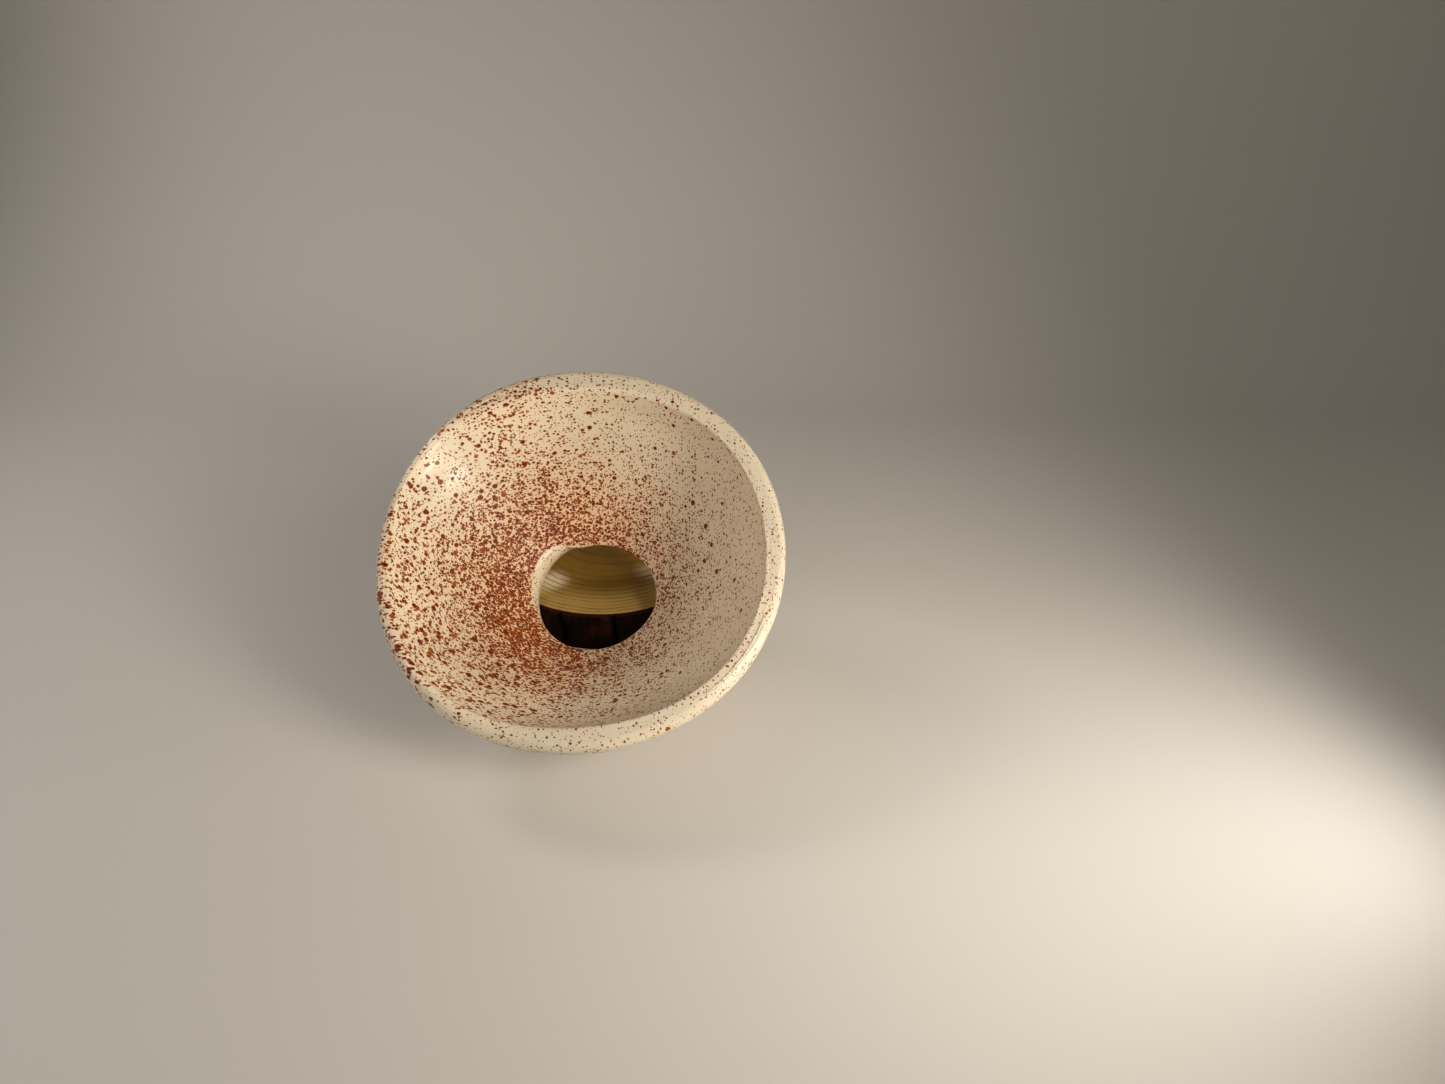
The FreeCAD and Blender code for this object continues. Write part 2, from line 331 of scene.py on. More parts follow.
def wander_rim(shape, a, out, up, level, inner, lip_centre):
    """Move the lip's inner edge in and out, drop its outer half at the lower left, wave the rim.

    level is the height over the foot as a share of the funnel's, and inner is 1 on the bowl
    and the lip's inner half. The rim leaves its circle by three- and four-fold waves.
    """
    amount = shape.unevenness * MM
    edge = (3.1 * swell(a, 158, 19) + 0.9 * swell(a, 130, 10) - 1.3 * swell(a, 88, 26)
            - 0.7 * swell(a, 270, 14) + 1.5 * swell(a, 325, 22) - 0.9 + 2.5 * swell(a, 218, 24))
    out = out + amount * edge * inner * smooth_step((level - 0.74) / 0.24) ** 1.3
    rolled = 1.4 * swell(a, 148, 30) * smooth_step((level - 0.66) / 0.34) * inner
    outer_half = smooth_step((out - lip_centre[0] + 1.5 * MM) / (2 * shape.lip_radius))
    dropped = 2.6 * swell(a, 232, 20) * outer_half * smooth_step((level - 0.72) / 0.2)
    rim = (0.42 * np.cos(3 * a) - 0.26 * np.sin(3 * a) - 0.44 * np.cos(4 * a)
           - 0.15 * swell(a, 178, 14) + 0.6 * swell(a, 268, 36) - 0.1)
    out = out + amount * rim * smooth_step((level - 0.25) / 0.6)
    return out, up - amount * (rolled + dropped)


def wander_throat(shape, a, out, up, loop, zone, bowl):
    """Move the throat's edges by throat_edges: the bowl next to it slides along its own arc."""
    amount = shape.unevenness * MM
    top_edge, low_edge = throat_edges(a)
    shift = amount * top_edge
    past = np.clip((out - shape.throat_radius) / (13 * MM), 0, 1)
    near = zone["bowl"] * (1 - smooth_step(past)) ** 1.5
    moved = out + shift * near
    slid = bowl[1] - np.sqrt(shape.bowl_curve ** 2 - (moved - bowl[0]) ** 2)
    on_arc = bowl[1] - np.sqrt(shape.bowl_curve ** 2 - (out - bowl[0]) ** 2)
    up = up + np.where(near > 0, slid - on_arc, 0)
    edge_slope = (shape.throat_radius - bowl[0]) / (bowl[1] - shape.throat_length)
    rise = np.clip(up / shape.throat_length, 0, 1)
    climb = zone["throat"] * smooth_step(rise)
    scooped = np.where(shift > 2 * MM, rise ** 3.4, smooth_step(rise))
    wall = zone["throat"] * (shift * scooped + amount * low_edge * (1 - smooth_step(rise)))
    across = np.clip((shape.foot_radius - loop[:, 0])
                     / (shape.foot_radius - shape.throat_radius), 0, 1)
    under = (zone["foot"] & (loop[:, 1] < shape.foot_height)) * smooth_step(across * 1.15)
    out = out + shift * near + wall + amount * low_edge * under
    return out, up + climb * shift * edge_slope


def undulate(shape, a, out, up):
    """Push the wall along its own normal by noise of three sizes, but not where it stands."""
    rng = np.random.default_rng(11)
    around = a / TURN + np.zeros_like(out)
    along = np.linspace(0, 1, out.shape[1])[None, :] + np.zeros_like(out)
    hand = (0.30 * lattice_noise(rng, around, along, 9, 7)
            + 0.10 * lattice_noise(rng, around, along, 26, 22)
            + 0.03 * lattice_noise(rng, around, along, 90, 60))
    seated = smooth_step(up / (6 * MM))
    push = shape.unevenness * MM * hand * seated
    step_out, step_up = np.gradient(out, axis=1), np.gradient(up, axis=1)
    run = np.hypot(step_out, step_up) + 1e-9
    return out + push * step_up / run, up - push * step_out / run


def uneven_section(shape, angle, loop, zone, lip_centre, bowl):
    """The section at every angle with the marks of hand work: how far out and up, as two grids."""
    a = angle[:, None]
    out = np.repeat(loop[None, :, 0], len(angle), axis=0)
    up = np.repeat(loop[None, :, 1], len(angle), axis=0)
    level = up / shape.height
    inner = zone["bowl"] | (zone["lip"] & (loop[:, 0] < lip_centre[0]))
    out, up = shape_lip(a, out, up, zone, lip_centre)
    out, up = wander_rim(shape, a, out, up, level, inner, lip_centre)
    out, up = wander_throat(shape, a, out, up, loop, zone, bowl)
    return undulate(shape, a, out, up)


def iron_maps(a, loop, zone):
    """Three sizes of iron spots and the stain under them, each a share from 0 up.

    A pass is a bell round the axis times a bell along the wall. Round the throat lies a ring
    of spray, and the left side gets more of every size the further out it is.
    """
    inside = (zone["bowl"] | zone["lip"])[None, :]
    reach = np.where(inside, loop[None, :, 0], 0) / MM

    def ring(centre, width):
        return np.exp(-0.5 * ((reach - centre) / width) ** 2)

    def flicked(name):
        return sum(share * swell(a, middle, width) * ring(out, wide)
                   for share, middle, width, out, wide in PASSES[name])

    on_wall = 1 - smooth_step((reach - 66) / 5)
    side = swell(a, 206, 50)
    sparse = 1 - 0.45 * swell(a, 345, 55)
    spray = (0.20 + 0.46 * ring(24, 15) * (1 - 0.25 * swell(a, 340, 60))
             + 0.17 * side * smooth_step((reach - 12) / 32) * on_wall
             + 0.20 * swell(a, 193, 24) * (1 - on_wall) + flicked("spray"))
    grains = (0.10 * sparse + 0.14 * ring(34, 14) * sparse
              + 0.62 * side * smooth_step((reach - 20) / 22) * on_wall
              + 0.42 * swell(a, 196, 20) * (1 - on_wall) + flicked("grains"))
    drops = (0.10 + 0.06 * ring(38, 14)
             + 0.34 * side * smooth_step((reach - 28) / 20) * on_wall + flicked("drops"))
    outside = 0.16 + 0.12 * swell(a, 210, 60)
    throat = zone["throat"][None, :]
    bare = np.maximum(swell(a, 155, 26) ** 0.5, swell(a, 320, 40))
    spray, grains, drops = (
        np.where(inside, inner, np.where(throat, edge * (1 - 0.8 * bare), share * outside))
        for inner, edge, share in ((spray, 0.70, 1.0), (grains, 0.22, 0.6), (drops, 0.10, 0.3)))
    stain = spray * (1 - 0.62 * swell(a, 328, 42)) + 0.12 * swell(a, 92, 36) * ring(32, 11)
    return spray, grains, drops, stain


def thin_glaze_and_lip_shade(a, loop, zone, lip_centre):
    """1 where the darker rim colour goes: thin glaze down the back, and over the lip but for the
    left and far side, where it is thin glaze and also painted shade that dims the lip.
    """
    bearing = np.arctan2(loop[:, 1] - lip_centre[1], loop[:, 0] - lip_centre[0])
    over = (zone["lip"] * smooth_step((2.45 - bearing) / 0.22))[None, :]
    degrees = np.degrees(a)
    left = smooth_step((degrees - 118) / 24) * (1 - smooth_step((degrees - 238) / 18))
    thick = np.maximum(0.95 * left, 0.75 * swell(a, 74, 34))
    return np.maximum(over * (1 - thick), zone["back"][None, :])


def glaze_cover(shape, a, loop, zone):
    """1 where there is glaze and 0 on the foot; down the back it stops at a wavering line."""
    line = shape.foot_height + MM * (2.4 + 0.8 * np.sin(3 * a + 1) + 0.5 * np.sin(7 * a))
    outer = (zone["back"] | (zone["foot"] & (loop[:, 0] > shape.foot_radius - 2 * MM)))[None, :]
    glazed = np.where(outer, smooth_step((loop[None, :, 1] - line) / (0.5 * MM)), 1.0)
    return np.where(zone["foot"][None, :], 0.0, glazed)


def build_funnel(shape, finishes):
    """Turn the uneven section about the tilted axis.

    A point is foot + out (cos a X + sin a W) + up U, with U the axis and W square to it.
    """
    low, high = (np.array(corner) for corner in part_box("funnel"))
    rim_radius = (high[0] - low[0]) / 2
    loop, zone, lip_centre, bowl = funnel_section(shape, rim_radius)
    tip = (math.cos(shape.tilt), math.sin(shape.tilt))
    up_axis = np.array([0, -tip[1], tip[0]])
    back_axis = np.array([0, tip[0], tip[1]])
    lip_middle = np.array([(low[0] + high[0]) / 2,
                           low[1] + lip_centre[0] * tip[0] + shape.lip_radius,
                           high[2] - lip_centre[0] * tip[1] - shape.lip_radius])
    foot = lip_middle - up_axis * lip_centre[1]

    angle = np.linspace(0, TURN, AROUND, endpoint=False)
    out, up = uneven_section(shape, angle, loop, zone, lip_centre, bowl)
    a = angle[:, None]
    maps = (*iron_maps(a, loop, zone), thin_glaze_and_lip_shade(a, loop, zone, lip_centre),
            glaze_cover(shape, a, loop, zone))
    around = np.cos(angle)[:, None, None] * np.array([1, 0, 0]) \
        + np.sin(angle)[:, None, None] * back_axis
    points = foot + out[..., None] * around + up[..., None] * up_axis
    mesh = mesh_from_grid("funnel_glazed", points)
    for name, values in zip(GLAZE_MAPS, maps):
        paint(mesh, name, values)
    return place("funnel_glazed", mesh, glaze_material(finishes), "funnel",
                 "funnel")


# ---------------------------------------------------------------- wood slice

SLICE_AROUND = 900


def round_slice():
    """Angles all the way round the slice, the last one left out."""
    return np.linspace(0, TURN, SLICE_AROUND, endpoint=False)


def wood_outline(angle, radius, waviness):
    """The wood's edge: its full radius less slow waves, so it never leaves its circle."""
    waves = 0.5 + 0.28 * np.cos(2 * angle + 0.6) + 0.22 * np.cos(5 * angle + 2.0)
    return radius - waviness * waves


def half_width(node):
    """Half the width of a node's solid."""
    low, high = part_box(node)
    return (high.x - low.x) / 2


def ring_grid(profile_out, profile_up, angle):
    """Points of a turned profile whose outward distance varies with the angle."""
    return np.stack([profile_out * np.cos(angle)[:, None], profile_out * np.sin(angle)[:, None],
                     profile_up + np.zeros_like(profile_out)], axis=-1)


def build_wood(shape, finishes):
    """The sawn disc: two flat faces with softened edges, closed by a fan at each centre."""
    low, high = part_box("wood_slice")
    radius = half_width("wood_slice")
    angle = round_slice()
    edge = wood_outline(angle, radius, shape.waviness)
    share = np.array([0.02, 0.3, 0.6, 0.8, 0.93, 0.985, 0.997, 1.0, 1.0])
    lift = np.array([0, 0, 0, 0, 0, 0, 0, -0.12, -0.5]) * MM
    out = np.concatenate([share, share[::-1]])[None, :] * edge[:, None]
    up = np.concatenate([high.z + lift, (low.z - lift)[::-1]])
    points = ring_grid(out, up[None, :], angle)
    count, rows = points.shape[:2]
    vertices = np.concatenate([points.reshape(-1, 3), [[0, 0, high.z], [0, 0, low.z]]])
    ring, after = np.arange(count), (np.arange(count) + 1) % count
    top = np.stack([np.full(count, count * rows), ring * rows, after * rows], axis=1)
    last = rows - 1
    under = np.stack([np.full(count, count * rows + 1), after * rows + last, ring * rows + last],
                     axis=1)
    faces = grid_quads(count, rows, close_along=False) + top.tolist() + under.tolist()
    mesh = smooth_mesh("wood_end_grain", vertices, faces)
    return place("wood_end_grain", mesh, wood_material(finishes, radius), "root",
                 "wood_slice")


def build_bast(shape, finishes):
    """The thin red ring between wood and bark, following the wood's outline."""
    low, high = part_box("inner_bark")
    radius = half_width("wood_slice")
    thick = half_width("inner_bark") - radius
    angle = round_slice()
    edge = wood_outline(angle, radius, shape.waviness)[:, None]
    rng = np.random.default_rng(5)
    fray = 0.12 * MM * lattice_noise(rng, angle[:, None] / TURN, 0 * angle[:, None], 260, 1)
    out = np.concatenate([edge, edge, edge + thick / 2, edge + thick, edge + thick,
                          edge + thick, edge + thick / 2], axis=1)
    top = high.z - 0.15 * MM + fray
    zero = np.zeros_like(edge)
    up = np.concatenate([zero + low.z, top, top + 0.1 * MM, top, zero + high.z / 2,
                         zero + low.z, zero + low.z], axis=1)
    mesh = mesh_from_grid("inner_bark_ring", ring_grid(out, up, angle))
    return place("inner_bark_ring", mesh, bast_material(finishes), "root",
                 "inner_bark")


def bark_relief(shape, angle, level, radius):
    """Depth below the bark's outermost skin at each angle and level, and how deep in a crack.

    Deep cracks wander a little as they climb and die out at different heights; fine cracks
    and plate edges lie between them; the rest is rough at two scales.
    """
    rng = np.random.default_rng(23)
    a = angle[:, None] + 0 * level
    v = level + 0 * a
    cracks = np.zeros_like(a)
    for number in range(shape.fissures):
        middle = TURN * number / shape.fissures + 0.04 * math.sin(1.9 * (number - 12))
        drift = rng.normal(0, 0.004) * np.sin(TURN * (v * rng.uniform(0.5, 1.2) + rng.random()))
        away = np.abs(wrapped(a - middle - drift)) * radius
        half = rng.uniform(1.2, 1.7) * MM * (0.8 + 0.2 * np.sin(5 * v + number))
        ends = smooth_step((v - rng.uniform(-0.5, 0.05)) / 0.12)
        cracks = np.maximum(cracks, ends * rng.uniform(0.75, 1.0)
                            * np.clip(1 - away / half, 0, 1) ** 0.7)
    for number in range(90):
        middle, start, reach = rng.uniform(0, TURN), rng.uniform(-0.3, 0.8), rng.uniform(0.2, 0.9)
        drift = 0.006 * np.sin(TURN * (v * rng.uniform(0.5, 2) + rng.random()))
        away = np.abs(wrapped(a - middle - drift)) * radius
        span = smooth_step((v - start) / 0.1) * smooth_step((start + reach - v) / 0.1)
        cracks = np.maximum(cracks, rng.uniform(0.2, 0.45) * span
                            * np.clip(1 - away / (rng.uniform(0.25, 0.5) * MM), 0, 1))
    around = a / TURN
    plates = lattice_noise(rng, around, v, 34, 3)
    grain = lattice_noise(rng, around, v, 150, 9)
    grit = lattice_noise(rng, around, v, 420, 34)
    depth = (shape.fissure_depth * cracks + MM * (0.14 + 0.16 * plates + 0.16 * grain
                                                  + 0.08 * grit))
    return np.maximum(depth, 0), cracks


def build_bark(shape, finishes):
    """The outer bark: a closed ring whose outside is the relief and whose cut edges are ragged."""
    low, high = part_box("outer_bark")
    radius, wood_radius = half_width("outer_bark"), half_width("wood_slice")
    bast_radius = half_width("inner_bark")
    thick = high.z - low.z
    angle = round_slice()
    edge = wood_outline(angle, wood_radius, shape.waviness)
    inner = (edge + bast_radius - wood_radius)[:, None]
    level = np.concatenate([np.linspace(1, 0.96, 5), np.linspace(0.94, 0.06, 44),
                            np.linspace(0.04, 0, 5)])[None, :]
    depth, cracks = bark_relief(shape, angle, level, radius)
    rounding = 0.4 * MM * (np.clip((level - 0.955) / 0.045, 0, 1) ** 2
                           + 0.4 * np.clip((0.045 - level) / 0.045, 0, 1) ** 2)
    dip = bast_radius - inner
    toe = smooth_step(level / 0.13)
    outside = radius - (depth + rounding + 0.3 * dip) * toe
    outside_up = low.z + level * thick + np.zeros_like(outside)
    share = np.array([0.0, 0.25, 0.5, 0.75, 0.9])[None, :]
    top_out = inner * (1 - share) + outside[:, :1] * share
    low_out = (inner * (1 - share) + outside[:, -1:] * share)[:, ::-1]
    rng = np.random.default_rng(31)
    around = angle[:, None] / TURN + 0 * share
    crumbs = lattice_noise(rng, around, share + 0 * around, 300, 4)
    sag = 0.18 * MM * (crumbs - 1) * np.array([0.2, 0.8, 1, 1, 0.8])
    top_up = high.z + sag
    low_up = low.z + np.zeros_like(low_out)
    out = np.concatenate([inner, top_out[:, 1:], outside, low_out], axis=1)
    up = np.concatenate([high.z + 0 * inner, top_up[:, 1:], outside_up, low_up], axis=1)
    mesh = mesh_from_grid("outer_bark_ring", ring_grid(out, up, angle))
    zero = np.zeros_like(inner)
    edge_crack = cracks[:, :1] * np.array([0.2, 0.5, 0.8, 1.0])[None, :]
    crack = np.concatenate([zero, edge_crack, cracks, cracks[:, -1:] + np.zeros_like(low_out)],
                           axis=1)
    cut = np.concatenate([zero + 1, np.ones_like(edge_crack), np.zeros_like(cracks),
                          np.ones_like(low_out)], axis=1)
    paint(mesh, "crack", crack)
    paint(mesh, "cut", cut)
    return place("outer_bark_ring", mesh, bark_material(finishes), "root",
                 "outer_bark")


# ---------------------------------------------------------------- material nodes

def fill(tree, target, value):
    """Set an input to a value, or join it to a socket."""
    if isinstance(value, bpy.types.NodeSocket):
        tree.links.new(value, target)
    else:
        target.default_value = value


def add(tree, kind, sockets=None, **settings):
    """A node with its settings, and each named input set to a value or joined to a socket."""
    item = tree.nodes.new("ShaderNode" + kind)
    for name, value in settings.items():
        setattr(item, name, value)
    for name, value in (sockets or {}).items():
        fill(tree, item.inputs[name], value)
    return item


def calc(tree, operation, *values, clamp=False):
    """The result of one Math node."""
    item = add(tree, "Math", dict(enumerate(values)), operation=operation, use_clamp=clamp)
    return item.outputs[0]


def vector_calc(tree, operation, *values, scale=None):
    """The result of one Vector Math node: a length is a number, all else a vector."""
    sockets = dict(enumerate(values))
    if scale is not None:
        sockets["Scale"] = scale
    item = add(tree, "VectorMath", sockets, operation=operation)
    return item.outputs["Value" if operation == "LENGTH" else "Vector"]


def rescale(tree, value, low, high, to_low=0.0, to_high=1.0, smooth=False):
    """A value moved from one range to another and held inside it."""
    kind = "SMOOTHSTEP" if smooth else "LINEAR"
    item = add(tree, "MapRange", {"Value": value, "From Min": low, "From Max": high,
                                  "To Min": to_low, "To Max": to_high}, interpolation_type=kind)
    return item.outputs["Result"]


def blend(tree, share, first, second):
    """Two colours mixed by a share."""
    item = tree.nodes.new("ShaderNodeMix")
    item.data_type, item.blend_type = "RGBA", "MIX"
    for index, value in ((0, share), (6, first), (7, second)):
        fill(tree, item.inputs[index], value)
    return item.outputs[2]


def noise(tree, vector, scale, detail):
    """Soft noise about 0.5."""
    item = add(tree, "TexNoise", {"Vector": vector, "Scale": scale, "Detail": detail})
    return item.outputs["Fac"]


def rgba(values):
    return (*values, 1.0)


def attribute(tree, name):
    return add(tree, "Attribute", attribute_name=name, attribute_type="GEOMETRY").outputs["Fac"]


def new_group(name, inputs, outputs):
    """An empty shader group with named sockets; inputs are (name, kind, default)."""
    group = bpy.data.node_groups.new(name, "ShaderNodeTree")
    for label, kind, default in inputs:
        socket = group.interface.new_socket(label, in_out="INPUT", socket_type="NodeSocket" + kind)
        if default is not None:
            socket.default_value = default
    for label, kind in outputs:
        group.interface.new_socket(label, in_out="OUTPUT", socket_type="NodeSocket" + kind)
    return group, group.nodes.new("NodeGroupInput"), group.nodes.new("NodeGroupOutput")


def use_group(tree, group, sockets):
    item = tree.nodes.new("ShaderNodeGroup")
    item.node_tree = group
    for name, value in sockets.items():
        fill(tree, item.inputs[name], value)
    return item


def iron_spots_group():
    """Round spots scattered in space: a share of the cells of a Voronoi pattern hold one.

    A cell holds a spot when its random number is under Density. The spot's radius is Size
    times a second random number, Heart is the darker inner part, and Tone is a third
    random number that a cell's colour can hang on.
    """
    group = bpy.data.node_groups.get("iron_spots")
    if group:
        return group
    inputs = [("Vector", "Vector", None), ("Scale", "Float", 900.0), ("Density", "Float", 0.5),
              ("Size", "Float", 0.45), ("Softness", "Float", 0.08)]
    outputs = [("Spot", "Float"), ("Heart", "Float"), ("Tone", "Float")]
    group, given, result = new_group("iron_spots", inputs, outputs)
    cells = add(group, "TexVoronoi", {"Vector": given.outputs["Vector"],
                                      "Scale": given.outputs["Scale"]})
    chance = add(group, "SeparateColor", {"Color": cells.outputs["Color"]})
    excess = calc(group, "SUBTRACT", given.outputs["Density"], chance.outputs[0])
    present = calc(group, "MULTIPLY", excess, 9.0, clamp=True)
    spread = calc(group, "MULTIPLY_ADD", chance.outputs[1], 0.45, 0.65)
    shrunk = calc(group, "MULTIPLY", spread, present)
    radius = calc(group, "MULTIPLY", given.outputs["Size"], shrunk)
    group.links.new(chance.outputs[2], result.inputs["Tone"])
    for label, share in (("Spot", 1.0), ("Heart", 0.82)):
        inside = calc(group, "SUBTRACT", calc(group, "MULTIPLY", radius, share),
                      cells.outputs["Distance"])
        mask = calc(group, "DIVIDE", inside, given.outputs["Softness"], clamp=True)
        group.links.new(mask, result.inputs[label])
    return group


def mottle_group():
    """A colour made lighter and darker in soft patches."""
    group = bpy.data.node_groups.get("mottle")
    if group:
        return group
    inputs = [("Vector", "Vector", None), ("Color", "Color", None), ("Scale", "Float", 40.0),
              ("Amount", "Float", 0.2)]
    group, given, result = new_group("mottle", inputs, [("Color", "Color"), ("Patch", "Float")])
    cloud = noise(group, given.outputs["Vector"], given.outputs["Scale"], 4.0)
    patch = rescale(group, cloud, 0.3, 0.7, -1.0, 1.0)
    gain = calc(group, "MULTIPLY_ADD", patch, given.outputs["Amount"], 1.0)
    shade = vector_calc(group, "SCALE", given.outputs["Color"], scale=gain)
    group.links.new(shade, result.inputs["Color"])
    group.links.new(patch, result.inputs["Patch"])
    return group


def mottled(tree, vector, base, scale, amount):
    """A colour in soft patches; the node also gives the patches."""
    return use_group(tree, mottle_group(), {"Vector": vector, "Color": base, "Scale": scale,
                                            "Amount": amount})


def new_material(name, **levels):
    """A material with one shader; levels are inputs that are the same all over."""
    material = bpy.data.materials.new(name)
    material.use_nodes = True
    tree = material.node_tree
    tree.nodes.clear()
    shader = add(tree, "BsdfPrincipled", {key.replace("_", " "): value
                                          for key, value in levels.items()})
    output = add(tree, "OutputMaterial", {"Surface": shader.outputs[0]})
    output.is_active_output = True
    return material, tree, shader


def roughen(tree, shader, height, distance, strength):
    """Raise the surface where height is large, by the normal only."""
    bump = add(tree, "Bump", {"Height": height, "Distance": distance, "Strength": strength})
    tree.links.new(bump.outputs[0], shader.inputs["Normal"])


def warped(tree, vector, scale, amount):
    """A position pushed about by noise, so that what is drawn from it has ragged edges."""
    cloud = add(tree, "TexNoise", {"Vector": vector, "Scale": scale, "Detail": 2.0})
    push = vector_calc(tree, "SUBTRACT", cloud.outputs["Color"], (0.5, 0.5, 0.5))
    return vector_calc(tree, "ADD", vector, vector_calc(tree, "SCALE", push, scale=amount))


def flung(tree, vector):
    """Positions squeezed along X on the left, so that spots there come out as short streaks."""
    parts = add(tree, "SeparateXYZ", {"Vector": vector})
    x = parts.outputs["X"]
    squeezed = calc(tree, "MULTIPLY", x, calc(tree, "MULTIPLY_ADD", x, 2.3, 0.86))
    return add(tree, "CombineXYZ", {"X": squeezed, "Y": parts.outputs["Y"],
                                    "Z": parts.outputs["Z"]}).outputs[0]


def iron_over(tree, here, ragged, amounts, base, finishes):
    """Iron spots of six sizes laid over a colour: the new colour, and where a spot is."""
    spray, grains, drops = amounts
    clump = rescale(tree, noise(tree, here, 120.0, 2.0), 0.3, 0.7, 0.78, 1.22)
    uneven = calc(tree, "MULTIPLY", spray, clump)
    share = calc(tree, "MULTIPLY_ADD", uneven, 1.20, 0.10)
    girth = calc(tree, "MULTIPLY_ADD", uneven, 0.27, 0.315)
    few = calc(tree, "MULTIPLY_ADD", drops, 0.26, 0.012)
    layers = (
        ("mist", 1250, share, girth, 0.08), ("dust", 940, share, girth, 0.07),
        ("specks", 730, share, girth, 0.06), ("grains", 600, grains, 0.45, 0.06),
        ("drops", 380, drops, 0.42, 0.05), ("blots", 210, few, 0.30, 0.03),
    )
    covered = 0.0
    for number, (label, scale, density, size, softness) in enumerate(layers):
        apart = (0.013 * number, 0.007 * number, 0.0)
        shifted = vector_calc(tree, "ADD", ragged, apart)
        layer = use_group(tree, iron_spots_group(), {"Vector": shifted, "Scale": scale,
                                                     "Density": density, "Size": size,
                                                     "Softness": softness})
        layer.label = label
        base = blend(tree, layer.outputs["Spot"], base, rgba(finishes.rust))
        darkness = rescale(tree, layer.outputs["Tone"], 0.72, 0.78, 1.0, 0.25)
        base = blend(tree, calc(tree, "MULTIPLY", layer.outputs["Heart"], darkness), base,
                     rgba(finishes.iron))
        covered = calc(tree, "MAXIMUM", covered, layer.outputs["Spot"])
    return base, covered


def glaze_material(finishes):
    """Glossy cream glaze with iron spots in it, and bare clay where it stops."""
    material, tree, shader = new_material("cream_glaze", Specular_IOR_Level=0.27)
    here = add(tree, "TexCoord").outputs["Object"]
    ragged = warped(tree, flung(tree, here), 2000.0, 0.42 * MM)
    spray, grains, drops, stain, thin, glazed = (attribute(tree, name) for name in GLAZE_MAPS)
    # On the lip and down the back the cream gives way to the darker rim colour: thin glaze, and
    # painted shade on the lip.
    cream_or_shaded_rim = blend(tree, thin, rgba(finishes.cream), rgba(finishes.rim))
    cream = mottled(tree, here, cream_or_shaded_rim, 38.0, 0.05).outputs["Color"]
    stained = blend(tree, rescale(tree, stain, 0.28, 0.75, 0.0, 0.62), cream,
                    rgba(finishes.peach))
    spotted, covered = iron_over(tree, here, ragged, (spray, grains, drops), stained, finishes)
    clay = mottled(tree, here, rgba(finishes.clay), 300.0, 0.18)
    clay_spots = use_group(tree, iron_spots_group(), {"Vector": here, "Scale": 700.0,
                                                      "Density": 0.12, "Size": 0.4,
                                                      "Softness": 0.1})
    clay_colour = blend(tree, clay_spots.outputs["Spot"], clay.outputs["Color"],
                        rgba(finishes.iron))
    tree.links.new(blend(tree, glazed, clay_colour, spotted), shader.inputs["Base Color"])

    dull = rescale(tree, spray, 0.35, 0.70, 0.22, 0.44)
    shine = calc(tree, "MULTIPLY_ADD", covered, 0.12, dull)
    bare = calc(tree, "SUBTRACT", 1.0, glazed)
    tree.links.new(calc(tree, "MULTIPLY_ADD", bare, 0.6, shine, clamp=True),
                   shader.inputs["Roughness"])
    skin = calc(tree, "MULTIPLY_ADD", covered, 0.25, noise(tree, here, 520.0, 3.0))
    grit = calc(tree, "MULTIPLY", bare, noise(tree, here, 2600.0, 3.0))
    roughen(tree, shader, calc(tree, "MULTIPLY_ADD", grit, 2.0, skin), 0.09 * MM, 0.8)
    return material


def reach_here(tree, vector, middle):
    """Distance across the slice from a point given in metres."""
    return vector_calc(tree, "LENGTH", vector_calc(tree, "SUBTRACT", vector, (*middle, 0.0)))


def growth_rings(tree, here, wobbly, radius):
    """How far out a point lies in millimetres, and how dark the late wood is there.

    Rings are circles whose centres slide from the slice's middle at the bark to the pith
    behind it. With r such a circle's radius in millimetres, its number is 0.1 r + 0.00008 r^3.
    """
    span = vector_calc(tree, "LENGTH", wobbly)
    inward = calc(tree, "SUBTRACT", 1.0, calc(tree, "DIVIDE", span, radius))
    slide = vector_calc(tree, "SCALE", (-0.002, -0.013, 0.0), scale=inward)
    reach = vector_calc(tree, "LENGTH", vector_calc(tree, "ADD", wobbly, slide))
    r = calc(tree, "DIVIDE", reach, MM)
    cube = calc(tree, "POWER", r, 3.0)
    number = calc(tree, "MULTIPLY_ADD", cube, 0.00008, calc(tree, "MULTIPLY", r, 0.1))
    phase = calc(tree, "FRACT", number)
    late = calc(tree, "MULTIPLY", rescale(tree, phase, 0.62, 0.94, 0, 1, smooth=True),
                rescale(tree, phase, 0.97, 1.0, 1, 0))
    whole = calc(tree, "FLOOR", number)
    year = add(tree, "TexWhiteNoise", {"W": whole}, noise_dimensions="1D").outputs["Value"]
    broken = rescale(tree, noise(tree, here, 160.0, 3.0), 0.3, 0.65, 0.45, 1.1)
    strength = calc(tree, "MULTIPLY", calc(tree, "MULTIPLY_ADD", year, 0.7, 0.38), broken)
    return r, calc(tree, "MULTIPLY", late, strength)


